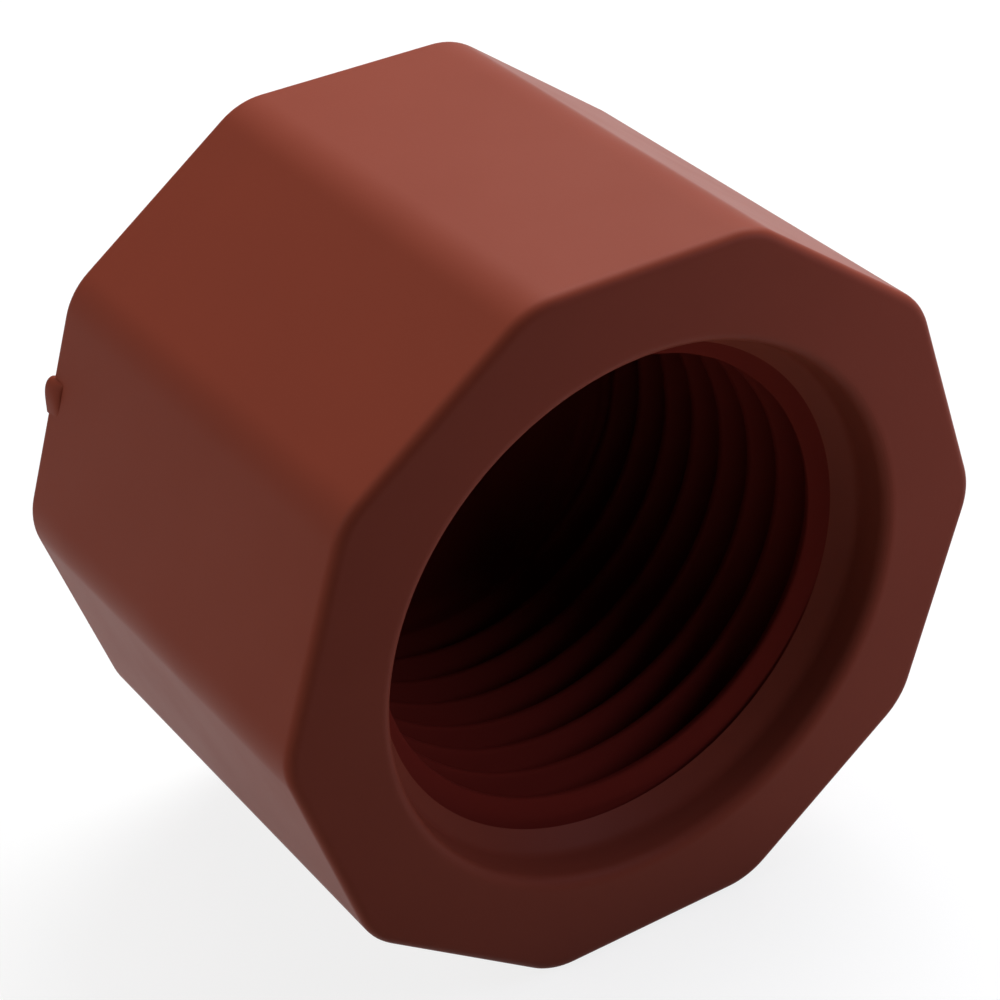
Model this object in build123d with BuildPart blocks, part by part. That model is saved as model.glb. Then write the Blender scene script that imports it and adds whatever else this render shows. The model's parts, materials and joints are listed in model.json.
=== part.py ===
import os
from math import radians, tan

from build123d import *

# Screw-on pipe cap, moulded in one piece: a ten-sided barrel, closed at one end, with a
# socket for a half-inch pipe thread. It lies on one of its flats, with the mouth facing -Y.

# Barrel
side_count = 10
across_flats = 29.0  # at the mouth
barrel_length = 19.8
draft_angle = 0.5  # degrees, the closed end is the wider one
barrel_edge_radius = 3.0
mouth_rim_radius = 0.4
closed_rim_radius = 0.25

# Socket, stepping out from the thread to the mouth
end_wall = 2.9
socket_floor_radius = 0.6
thread_minor_diameter = 18.6
lead_in_width = 0.75
lead_in_height = 0.4
ledge_width = 0.7
ledge_height = 0.8
mouth_wall_flare = 0.2
mouth_wall_height = 1.5
mouth_edge_radius = 0.5
ledge_corner_radius = 0.8  # between the ledge and the wall above it

# Trimmed gate on one flat, at the closed end's rim
gate_flat = 3  # flats round from the one that the cap lies on, clockwise from the mouth
gate_offset = 0.55  # upwards from the flat's middle
gate_width = 1.5
gate_shoulder = 0.4
gate_height = 0.28
gate_length = 0.9
gate_root = 0.5  # how far it runs into the barrel

turn_per_flat = 360 / side_count
closed_half_width = across_flats / 2 + barrel_length * tan(radians(draft_angle))

socket_radius = thread_minor_diameter / 2
ledge_inner_radius = socket_radius + lead_in_width
ledge_outer_radius = ledge_inner_radius + ledge_width
mouth_radius = ledge_outer_radius + mouth_wall_flare
ledge_top = barrel_length - mouth_wall_height
ledge_bottom = ledge_top - ledge_height
lead_in_bottom = ledge_bottom - lead_in_height

gate_upper_end = -gate_offset - gate_width / 2
gate_lower_end = -gate_offset + gate_width / 2

# Seen from the mouth, X of these two planes points right and Y points up
closed_end = Plane(origin=(0, barrel_length / 2, closed_half_width), x_dir=(1, 0, 0), z_dir=(0, -1, 0))
mouth = closed_end.offset(barrel_length)
# Half section through the axis: X is the radius, Y runs from the closed end to the mouth
half_section = Plane(origin=closed_end.origin, x_dir=(1, 0, 0), z_dir=(0, 0, -1))

with BuildPart() as pipe_cap:
    # Barrel, with its draft set out from the mouth
    with BuildSketch(mouth):
        RegularPolygon(
            across_flats / 2,
            side_count,
            major_radius=False,
            rotation=-90 - turn_per_flat / 2,
            align=None,
        )
    extrude(amount=-barrel_length)
    draft(faces().filter_by(Axis.Y, reverse=True), mouth, draft_angle)
    barrel_edges = edges().group_by(Axis.Y)[1]
    fillet(barrel_edges, barrel_edge_radius)
    fillet(faces().sort_by(Axis.Y)[0].edges(), mouth_rim_radius)
    fillet(faces().sort_by(Axis.Y)[-1].edges(), closed_rim_radius)

    # Socket, turned out from its flat floor up to the mouth
    with BuildSketch(half_section):
        with BuildLine():
            Polyline(
                (0, end_wall),
                (socket_radius, end_wall),
                (socket_radius, lead_in_bottom),
                (ledge_inner_radius, ledge_bottom),
                (ledge_outer_radius, ledge_top),
                (mouth_radius, barrel_length),
                (0, barrel_length),
                close=True,
            )
        make_face()
        floor_corner = vertices().group_by(Axis.Y)[0].sort_by(Axis.X)[-1]
        fillet(floor_corner, socket_floor_radius)
        ledge_corner = vertices().group_by(Axis.Y)[-2]
        fillet(ledge_corner, ledge_corner_radius)
    revolve(axis=Axis(closed_end.origin, closed_end.z_dir), mode=Mode.SUBTRACT)
    mouth_face = faces().sort_by(Axis.Y)[0]
    fillet(mouth_face.inner_wires()[0].edges(), mouth_edge_radius)

    # Gate, with a blunt shoulder above and a long slope below
    with BuildSketch(closed_end):
        with PolarLocations(closed_half_width, 1, start_angle=-90 - gate_flat * turn_per_flat):
            Polygon(
                (-gate_root, gate_upper_end),
                (-gate_root, gate_lower_end),
                (0, gate_lower_end),
                (gate_height, gate_upper_end + gate_shoulder),
                (0, gate_upper_end),
                align=None,
            )
    extrude(amount=gate_length)

os.makedirs("parts", exist_ok=True)
pipe_cap.part.label = "pipe_cap"
export_step(pipe_cap.part, "parts/pipe_cap.step")
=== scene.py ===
import json
import math

import bmesh
import bpy
from mathutils import Matrix, Vector


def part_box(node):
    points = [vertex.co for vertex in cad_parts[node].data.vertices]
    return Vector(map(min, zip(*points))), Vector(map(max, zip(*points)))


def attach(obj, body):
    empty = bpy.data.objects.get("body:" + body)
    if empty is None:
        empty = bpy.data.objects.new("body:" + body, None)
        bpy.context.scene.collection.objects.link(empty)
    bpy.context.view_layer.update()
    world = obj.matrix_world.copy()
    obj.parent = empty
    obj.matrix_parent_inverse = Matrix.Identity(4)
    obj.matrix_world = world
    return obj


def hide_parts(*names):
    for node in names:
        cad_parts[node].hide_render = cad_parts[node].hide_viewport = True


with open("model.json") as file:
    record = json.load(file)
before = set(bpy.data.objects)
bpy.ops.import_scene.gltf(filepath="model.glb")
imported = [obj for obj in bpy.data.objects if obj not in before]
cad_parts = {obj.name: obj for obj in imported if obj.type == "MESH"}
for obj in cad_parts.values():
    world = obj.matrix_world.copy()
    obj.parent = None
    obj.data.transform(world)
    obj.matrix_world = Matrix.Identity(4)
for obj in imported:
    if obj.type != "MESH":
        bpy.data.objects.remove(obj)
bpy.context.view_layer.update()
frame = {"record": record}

# Viewpoint: the cap lies on one of its flats and is seen from above, to the left of its mouth,
# through a long lens, so that the barrel's edges run almost parallel.
mm = 0.001
view_azimuth = math.radians(-32.07)
view_elevation = math.radians(32.80)
view_roll = math.radians(-2.39)
view_target = Vector((3.20, 5.20, 10.84)) * mm
view_distance = 115 * mm
lens_length = 100.6
nearest_view = 10 * mm
farthest_view = 10000 * mm

towards_camera = Vector(
    (
        math.sin(view_azimuth) * math.cos(view_elevation),
        -math.cos(view_azimuth) * math.cos(view_elevation),
        math.sin(view_elevation),
    )
)
camera = bpy.data.objects.new("camera", bpy.data.cameras.new("camera"))
camera.data.lens = lens_length
camera.data.clip_start = nearest_view
camera.data.clip_end = farthest_view
camera.matrix_world = (
    Matrix.Translation(view_target + towards_camera * view_distance)
    @ (-towards_camera).to_track_quat("-Z", "Y").to_matrix().to_4x4()
    @ Matrix.Rotation(view_roll, 4, "Z")
)
bpy.context.scene.collection.objects.link(camera)
bpy.context.scene.camera = camera

# Pipe cap, injection moulded in one piece from reddish brown rigid PVC: the mould parts at the
# closed end's rim, so the barrel narrows towards the mouth. The steel core that forms the stepped
# socket and its half-inch pipe thread is screwed out, and the gate is cut off by hand.
side_count = 10
across_flats = 29.0 * mm
barrel_edge_radius = 3.0 * mm
mouth_rim_radius = 0.4 * mm
closed_rim_radius = 0.25 * mm
end_wall = 2.9 * mm
socket_floor_radius = 0.6 * mm
lead_in_width = 0.75 * mm
lead_in_height = 0.4 * mm
ledge_width = 0.7 * mm
ledge_height = 0.8 * mm
mouth_wall_flare = 0.2 * mm
mouth_wall_height = 1.5 * mm
mouth_edge_radius = 0.5 * mm
ledge_corner_radius = 0.8 * mm
crisp_edge_radius = 0.08 * mm

low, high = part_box("pipe_cap")
closed_y = high.y
mouth_y = low.y
axis_height = (low.z + high.z) / 2
barrel_length = closed_y - mouth_y
closed_half_width = (high.z - low.z) / 2
socket = next(mount for mount in frame["record"]["mounts"] if mount["name"] == "socket")
socket_radius = socket["dims"]["r_mm"] * mm
ledge_inner_radius = socket_radius + lead_in_width
ledge_outer_radius = ledge_inner_radius + ledge_width
mouth_radius = ledge_outer_radius + mouth_wall_flare
ledge_top = barrel_length - mouth_wall_height
ledge_bottom = ledge_top - ledge_height
lead_in_bottom = ledge_bottom - lead_in_height

# Steps of the mesh, which are finest in the socket, where the thread is cut in
arc_steps = 6
corner_steps = 8
flat_steps = 14
points_round = side_count * (corner_steps + flat_steps)
support_gap = 0.1 * mm
barrel_spacing = 1.5 * mm
socket_spacing = 0.055 * mm
spacing_slack = 0.01


def rounded(corners):
    """The line through corners (radius, height, rounding), with an arc at each inner one."""
    spots = [Vector(corner[:2]) for corner in corners]
    line = []
    for before, spot, after, corner in zip(spots, spots[1:], spots[2:], corners[1:]):
        back = (before - spot).normalized()
        ahead = (after - spot).normalized()
        half_angle = back.angle(ahead) / 2
        reach = corner[2] / math.tan(half_angle)
        centre = spot + (back + ahead).normalized() * corner[2] / math.sin(half_angle)
        start = spot + back * reach - centre
        turn = start.angle_signed(spot + ahead * reach - centre)
        line.append(spot + back * (reach + support_gap))
        for step in range(arc_steps + 1):
            line.append(centre + Matrix.Rotation(-turn * step / arc_steps, 2) @ start)
        line.append(spot + ahead * (reach + support_gap))
    return line


def filled(line, spacing):
    """The same line, with points added so that none are further apart than the spacing."""
    points = [line[0]]
    for start, end in zip(line, line[1:]):
        steps = math.ceil((end - start).length / spacing - spacing_slack)
        points += [start.lerp(end, step / steps) for step in range(1, steps + 1)]
    return points


def on_cap(across, up, height):
    """A point seen from the mouth, at a height above the closed end."""
    return Vector((across, closed_y - height, axis_height + up))


def barrel_ring(half_width, height):
    """A turn round the barrel, where an inset leaves less of the edges' rounding."""
    draft = (closed_half_width - across_flats / 2) * height / barrel_length
    rounding = barrel_edge_radius - (closed_half_width - draft - half_width)
    turn = math.tau / side_count
    corner_reach = (half_width - rounding) / math.cos(turn / 2)
    flat_reach = (half_width - rounding) * math.tan(turn / 2)
    ring = []
    for side in range(side_count):
        corner = -math.pi / 2 + turn * (side - 0.5)
        for step in range(corner_steps):
            angle = corner + turn * (step / corner_steps - 0.5)
            ring.append(
                on_cap(
                    corner_reach * math.cos(corner) + rounding * math.cos(angle),
                    corner_reach * math.sin(corner) + rounding * math.sin(angle),
                    height,
                )
            )
        flat = corner + turn / 2
        for step in range(flat_steps):
            along = -flat_reach * math.cos(math.pi * step / flat_steps)
            ring.append(
                on_cap(
                    half_width * math.cos(flat) - along * math.sin(flat),
                    half_width * math.sin(flat) + along * math.cos(flat),
                    height,
                )
            )
    return ring


def round_ring(radius, height):
    """A turn round the axis, point for point with the barrel's."""
    step = math.tau / points_round
    start = -math.pi / 2 - math.pi / side_count - step * corner_steps / 2
    return [
        on_cap(radius * math.cos(start + step * k), radius * math.sin(start + step * k), height)
        for k in range(points_round)
    ]


barrel_line = rounded(
    [
        (0, 0, 0),
        (closed_half_width, 0, closed_rim_radius),
        (across_flats / 2, barrel_length, mouth_rim_radius),
        (0, barrel_length, 0),
    ]
)
socket_line = rounded(
    [
        (across_flats / 2, barrel_length, 0),
        (mouth_radius, barrel_length, mouth_edge_radius),
        (ledge_outer_radius, ledge_top, ledge_corner_radius),
        (ledge_inner_radius, ledge_bottom, crisp_edge_radius),
        (socket_radius, lead_in_bottom, crisp_edge_radius),
        (socket_radius, end_wall, socket_floor_radius),
        (0, end_wall, 0),
    ]
)
rings = (
    [round_ring(closed_half_width / 2, 0)]
    + [barrel_ring(*point) for point in filled(barrel_line, barrel_spacing)]
    + [round_ring(*point) for point in filled(socket_line, socket_spacing)]
    + [round_ring(socket_radius / 2, end_wall)]
)
moulding = bmesh.new()
turns = [[moulding.verts.new(point) for point in ring] for ring in rings]
for turn, next_turn in zip(turns, turns[1:]):
    for k in range(points_round):
        moulding.faces.new((turn[k - 1], turn[k], next_turn[k], next_turn[k - 1]))
for turn, height in ((turns[0], 0), (turns[-1], end_wall)):
    middle = moulding.verts.new(on_cap(0, 0, height))
    for k in range(points_round):
        moulding.faces.new((turn[k - 1], turn[k], middle))
bmesh.ops.recalc_face_normals(moulding, faces=moulding.faces)
pipe_cap = bpy.data.objects.new("pipe_cap_moulding", bpy.data.meshes.new("pipe_cap_moulding"))
bpy.context.scene.collection.objects.link(pipe_cap)
moulding.to_mesh(pipe_cap.data)
moulding.free()

# Gate, cut off by hand close to the wall: what is left is a low lump with a blunt shoulder above
# and a slope below, in one with the moulding.
gate_flat = 3
gate_offset = 0.55 * mm
gate_width = 1.5 * mm
gate_height = 0.27 * mm
gate_length = 0.9 * mm
gate_root = 0.5 * mm
gate_sink = 0.02 * mm
gate_lean = 1.83
gate_steps = 24
gate_rows = 12

flat = -math.pi / 2 - math.tau / side_count * gate_flat
outward = Vector((math.cos(flat), math.sin(flat)))
upward = Vector((math.sin(flat), -math.cos(flat)))
lump = bmesh.new()
sections = []
for row in range(gate_rows + 1):
    angle = math.pi / 2 * row / gate_rows
    height = gate_length * math.sin(angle)
    fullness = math.cos(angle)
    wall = closed_half_width - (closed_half_width - across_flats / 2) * height / barrel_length
    outline = [(0, -gate_root)]
    for k in range(gate_steps + 1):
        crest = gate_height * math.sin(math.pi * k / gate_steps) * fullness
        outline.append(((k / gate_steps) ** gate_lean * gate_width, crest - gate_sink))
    outline.append((gate_width, -gate_root))
    spots = [outward * (wall + h) + upward * (gate_offset + gate_width / 2 - s) for s, h in outline]
    sections.append([lump.verts.new(on_cap(spot.x, spot.y, height)) for spot in spots])
for section, next_section in zip(sections, sections[1:]):
    for k in range(len(section)):
        lump.faces.new((section[k - 1], section[k], next_section[k], next_section[k - 1]))
lump.faces.new(sections[0])
lump.faces.new(sections[-1])
bmesh.ops.recalc_face_normals(lump, faces=lump.faces)
gate = bpy.data.objects.new("gate", bpy.data.meshes.new("gate"))
bpy.context.scene.collection.objects.link(gate)
lump.to_mesh(gate.data)
lump.free()
fuse_gate = pipe_cap.modifiers.new("fuse gate", "BOOLEAN")
fuse_gate.operation = "UNION"
fuse_gate.solver = "EXACT"
fuse_gate.object = gate


class Field:
    """A node's output in an expression: arithmetic on it adds Math nodes to its tree."""

    def __init__(self, nodes, output):
        self.nodes = nodes
        self.output = output

    def out(self, name):
        return Field(self.nodes, self.output.node.outputs[name])

    def math(self, operation, *others):
        return self.nodes.add("ShaderNodeMath", {"operation": operation}, dict(enumerate((self, *others))))

    def __add__(self, other):
        return self.math("ADD", other)

    def __sub__(self, other):
        return self.math("SUBTRACT", other)

    def __mul__(self, other):
        return self.math("MULTIPLY", other)

    def __truediv__(self, other):
        return self.math("DIVIDE", other)

    def __rsub__(self, other):
        return self.nodes.add("ShaderNodeMath", {"operation": "SUBTRACT"}, {0: other, 1: self})

    __radd__ = __add__
    __rmul__ = __mul__


class Nodes:
    """Adds nodes to one tree."""

    def __init__(self, tree):
        self.tree = tree

    def add(self, kind, settings=None, sockets=None):
        """A node of this kind: its settings come first, then its sockets' values or links."""
        node = self.tree.nodes.new(kind)
        for name, value in (settings or {}).items():
            setattr(node, name, value)
        for name, value in (sockets or {}).items():
            if isinstance(value, Field):
                self.tree.links.new(value.output, node.inputs[name])
            else:
                node.inputs[name].default_value = value
        return Field(self, next(iter(node.outputs), None))


# Rigid PVC: the barrel has the faint stipple of a spark-eroded mould, and the threaded socket is
# duller. The socket's colour is a darker brown: painted shade in the deep bore. Seen at a grazing
# angle, the plastic is a little glossier.
pvc_brown = (0.27, 0.055, 0.031, 1)
clouded_brown = (0.25, 0.051, 0.029, 1)
# Painted shade: this darker brown stands in for the little light that reaches the deep bore
socket_painted_shade = (0.19, 0.021, 0.013, 1)
socket_reach = 12 * mm
cloud_scale = 260
cloud_detail = 3
stipple_scale = 6500
stipple_detail = 2
stipple_strength = 0.12
stipple_height = 0.02 * mm
pvc_ior = 1.53
pvc_specular = 0.045
pvc_roughness = 0.42
cloud_roughness = 0.1
socket_roughness = 0.4
grazing_start = 0.8
grazing_end = 0.97
grazing_polish = 0.2

# Places of a colour Mix node's sockets, which share their names with those of its other kinds
mix_factor = 0
mix_from = 6
mix_to = 7
mixed = 2

brown_pvc = bpy.data.materials.new("brown_pvc")
brown_pvc.use_nodes = True
brown_pvc.node_tree.nodes.clear()
nodes = Nodes(brown_pvc.node_tree)
place = nodes.add("ShaderNodeTexCoord").out("Object")
spot = nodes.add("ShaderNodeSeparateXYZ", sockets={"Vector": place})
up = spot.out("Z") - axis_height
from_axis = (spot.out("X") * spot.out("X") + up * up).math("SQRT")
near_axis = from_axis.math("LESS_THAN", socket_reach)
under_ledge = spot.out("Y").math("GREATER_THAN", closed_y - ledge_bottom)
above_end_wall = spot.out("Y").math("LESS_THAN", closed_y - end_wall / 2)
in_socket = near_axis * under_ledge * above_end_wall
clouds = nodes.add(
    "ShaderNodeTexNoise", sockets={"Vector": place, "Scale": cloud_scale, "Detail": cloud_detail}
)
stipple = nodes.add(
    "ShaderNodeTexNoise", sockets={"Vector": place, "Scale": stipple_scale, "Detail": stipple_detail}
)
tint = nodes.add(
    "ShaderNodeMix", {"data_type": "RGBA"}, {mix_factor: clouds, mix_from: pvc_brown, mix_to: clouded_brown}
).out(mixed)
# Painted shade: inside the threaded socket the colour turns to the darker brown
tint = nodes.add(
    "ShaderNodeMix", {"data_type": "RGBA"}, {mix_factor: in_socket, mix_from: tint, mix_to: socket_painted_shade}
).out(mixed)
bump = nodes.add(
    "ShaderNodeBump",
    sockets={"Strength": stipple_strength, "Distance": stipple_height, "Height": stipple},
)
grazing = nodes.add(
    "ShaderNodeMapRange",
    {"interpolation_type": "SMOOTHSTEP"},
    {
        "Value": nodes.add("ShaderNodeLayerWeight").out("Facing"),
        "From Min": grazing_start,
        "From Max": grazing_end,
    },
)
roughness = pvc_roughness + clouds * cloud_roughness + in_socket * socket_roughness
shader = nodes.add(
    "ShaderNodeBsdfPrincipled",
    sockets={
        "Base Color": tint,
        "Roughness": roughness * (1 - grazing * grazing_polish),
        "IOR": pvc_ior,
        "Specular IOR Level": pvc_specular,
        "Normal": bump,
    },
)
nodes.add("ShaderNodeOutputMaterial", sockets={"Surface": shader})

# Half-inch pipe thread, left in the socket by the steel core: it starts under the ledge and runs
# out before the floor. Each point of the socket's wall moves out by the groove's depth there.
thread_pitch = 1.814 * mm
thread_depth = 1.162 * mm
thread_crest_share = 0.15
thread_root_share = 0.1
thread_rounding = 0.15
first_crest_depth = 2.83 * mm
first_crest_angle = math.radians(-7)
thread_runout = 1.1 * mm
crisp_edge_angle = math.radians(40)
same_flat = 0.999

cut_thread = bpy.data.node_groups.new("cut thread", "GeometryNodeTree")
cut_thread.interface.new_socket("Geometry", in_out="INPUT", socket_type="NodeSocketGeometry")
cut_thread.interface.new_socket("Geometry", in_out="OUTPUT", socket_type="NodeSocketGeometry")
thread_sizes = {
    "Axis Height": axis_height,
    "Mouth": mouth_y,
    "Bore Radius": socket_radius,
    "Widest Radius": ledge_inner_radius + support_gap,
    "Start": mouth_wall_height + ledge_height,
    "End": barrel_length - end_wall - socket_floor_radius,
    "Runout": thread_runout,
    "Pitch": thread_pitch,
    "Depth": thread_depth,
    "Crest Share": thread_crest_share,
    "Root Share": thread_root_share,
    "Rounding": thread_rounding,
    "First Crest": first_crest_depth,
    "First Crest Angle": first_crest_angle,
}
for name in thread_sizes:
    cut_thread.interface.new_socket(name, in_out="INPUT", socket_type="NodeSocketFloat")
nodes = Nodes(cut_thread)
sizes = nodes.add("NodeGroupInput")
pitch = sizes.out("Pitch")
spot = nodes.add("ShaderNodeSeparateXYZ", sockets={"Vector": nodes.add("GeometryNodeInputPosition")})
across = spot.out("X")
up = spot.out("Z") - sizes.out("Axis Height")
depth = spot.out("Y") - sizes.out("Mouth")
radius = (across * across + up * up).math("SQRT")
turned = (up.math("ARCTAN2", across) - sizes.out("First Crest Angle")) / math.tau
phase = (depth - sizes.out("First Crest")) / pitch + turned
from_crest = ((phase + 0.5).math("FRACT") - 0.5).math("ABSOLUTE") * 2
crest = sizes.out("Crest Share")
flank = (from_crest - crest) / (1 - crest - sizes.out("Root Share"))
groove = flank.math("SMOOTH_MAX", 0.0, sizes.out("Rounding"))
groove = groove.math("SMOOTH_MIN", 1.0, sizes.out("Rounding"))
run_out = nodes.add(
    "ShaderNodeMapRange",
    {"interpolation_type": "SMOOTHSTEP"},
    {"Value": depth, "From Min": sizes.out("End"), "From Max": sizes.out("End") - sizes.out("Runout")},
)
cut_radius = sizes.out("Bore Radius") + sizes.out("Depth") * groove * run_out
scale = radius.math("MAXIMUM", cut_radius) / radius
past_start = depth.math("GREATER_THAN", sizes.out("Start"))
before_end = depth.math("LESS_THAN", sizes.out("End"))
in_bore = radius.math("LESS_THAN", sizes.out("Widest Radius")) * past_start * before_end
moved = nodes.add(
    "ShaderNodeCombineXYZ",
    sockets={"X": across * scale, "Y": spot.out("Y"), "Z": up * scale + sizes.out("Axis Height")},
)
shape = nodes.add(
    "GeometryNodeSetPosition",
    sockets={"Geometry": sizes.out("Geometry"), "Selection": in_bore, "Position": moved},
)
soft = nodes.add("GeometryNodeInputMeshEdgeAngle").math("LESS_THAN", crisp_edge_angle)
shape = nodes.add("GeometryNodeSetShadeSmooth", {"domain": "FACE"}, {"Geometry": shape})
shape = nodes.add(
    "GeometryNodeSetShadeSmooth", {"domain": "EDGE"}, {"Geometry": shape, "Shade Smooth": soft}
)
shape = nodes.add("GeometryNodeRealizeInstances", sockets={"Geometry": shape})
shape = nodes.add("GeometryNodeSetMaterial", sockets={"Geometry": shape, "Material": brown_pvc})
nodes.add("NodeGroupOutput", sockets={"Geometry": shape})

threading = pipe_cap.modifiers.new("cut thread", "NODES")
threading.node_group = cut_thread
for item in cut_thread.interface.items_tree:
    if item.name in thread_sizes:
        threading[item.identifier] = thread_sizes[item.name]
finished = pipe_cap.evaluated_get(bpy.context.evaluated_depsgraph_get())
pipe_cap_mesh = bpy.data.meshes.new_from_object(finished)
pipe_cap.modifiers.clear()
pipe_cap.data = pipe_cap_mesh

# The flat round the gate is shaded flat, so that the lump's soft shading stays off it
beside_gate = on_cap(*(outward * closed_half_width + upward * gate_offset), gate_length / 2)
for face in pipe_cap_mesh.polygons:
    on_flat = face.normal.dot((outward.x, 0, outward.y)) > same_flat
    if on_flat and (face.center - beside_gate).length < gate_width:
        face.use_smooth = False
bpy.data.objects.remove(gate)
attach(pipe_cap, "root")
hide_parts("pipe_cap")

# Table top: plain and matt. It throws a grey table's light back on the cap, while the camera and the
# cap's gloss see it lifted to white, with the soft shadow still on it, and all white further off.
floor_reach = 2000 * mm
floor_grey = (0.4, 0.4, 0.4, 1)
floor_shade = (0.2, 0.2, 0.2, 1)
floor_lift = (0.82, 0.82, 0.82, 1)
white = (1, 1, 1, 1)
shadow_reach = 100 * mm
white_from = 500 * mm

floor_material = bpy.data.materials.new("white_table")
floor_material.use_nodes = True
floor_material.node_tree.nodes.clear()
nodes = Nodes(floor_material.node_tree)
rays = nodes.add("ShaderNodeLightPath")
seen = rays.out("Is Camera Ray").math("MAXIMUM", rays.out("Is Glossy Ray"))
seen = seen.math("MAXIMUM", rays.out("Is Transmission Ray"))
tint = nodes.add(
    "ShaderNodeMix", {"data_type": "RGBA"}, {mix_factor: seen, mix_from: floor_grey, mix_to: floor_shade}
).out(mixed)
matt = nodes.add("ShaderNodeBsdfDiffuse", sockets={"Color": tint})
place = nodes.add("ShaderNodeTexCoord").out("Object")
distance = nodes.add("ShaderNodeVectorMath", {"operation": "LENGTH"}, {"Vector": place}).out("Value")
far = nodes.add(
    "ShaderNodeMapRange",
    {"interpolation_type": "SMOOTHSTEP"},
    {"Value": distance, "From Min": shadow_reach, "From Max": white_from},
)
glow = nodes.add(
    "ShaderNodeMix", {"data_type": "RGBA"}, {mix_factor: far, mix_from: floor_lift, mix_to: white}
).out(mixed)
lift = nodes.add("ShaderNodeEmission", sockets={"Color": glow, "Strength": seen})
surface = nodes.add("ShaderNodeAddShader", sockets={0: matt, 1: lift})
nodes.add("ShaderNodeOutputMaterial", sockets={"Surface": surface})

floor = bpy.data.objects.new("floor", bpy.data.meshes.new("floor"))
floor.data.from_pydata(
    [(x * floor_reach, y * floor_reach, 0) for x, y in ((-1, -1), (1, -1), (1, 1), (-1, 1))],
    [],
    [(0, 1, 2, 3)],
)
floor.data.materials.append(floor_material)
bpy.context.scene.collection.objects.link(floor)

# Light: large softboxes behind on the right, above and on the left, and a small one close to the
# mouth. The room is dark and the backdrop is white to a little above the table, while the camera
# sees white all round.
neutral = (1, 1, 1)
bluish = (1, 1, 1.3)
# Direction from the cap, distance, radius, brightness of a white card that faces the lamp, and tint
softboxes = {
    "behind": ((0.56, 0.32, 0.77), 260 * mm, 121 * mm, 0.84, neutral),
    "above": ((0.17, 0.47, 0.87), 260 * mm, 121 * mm, 0.22, neutral),
    "left": ((-0.82, 0.17, 0.54), 260 * mm, 95 * mm, 0.27, neutral),
    "mouth": ((0.58, -0.58, 0.57), 70 * mm, 19 * mm, 0.15, bluish),
}
backdrop_top = 0.25

for name, (aim, distance, radius, level, tint) in softboxes.items():
    lamp = bpy.data.objects.new(name, bpy.data.lights.new(name, "AREA"))
    lamp.data.shape = "DISK"
    lamp.data.size = 2 * radius
    lamp.data.color = tint
    lamp.data.energy = level * math.pi**2 * (distance**2 + radius**2)
    aim = Vector(aim).normalized()
    facing_cap = aim.to_track_quat("Z", "Y").to_matrix().to_4x4()
    lamp.matrix_world = Matrix.Translation(aim * distance) @ facing_cap
    bpy.context.scene.collection.objects.link(lamp)

room = bpy.data.worlds.new("room")
room.use_nodes = True
room.node_tree.nodes.clear()
nodes = Nodes(room.node_tree)
rays = nodes.add("ShaderNodeLightPath")
direction = nodes.add(
    "ShaderNodeSeparateXYZ", sockets={"Vector": nodes.add("ShaderNodeTexCoord").out("Generated")}
)
backdrop = nodes.add(
    "ShaderNodeMapRange",
    {"interpolation_type": "SMOOTHSTEP"},
    {"Value": direction.out("Z"), "From Min": backdrop_top, "From Max": 0.0},
)
seen = rays.out("Is Glossy Ray").math("MAXIMUM", rays.out("Is Transmission Ray")) * backdrop
seen = seen.math("MAXIMUM", rays.out("Is Camera Ray"))
glow = nodes.add("ShaderNodeBackground", sockets={"Color": white, "Strength": seen})
nodes.add("ShaderNodeOutputWorld", sockets={"Surface": glow})
bpy.context.scene.world = room
bpy.context.scene.view_settings.view_transform = "Standard"
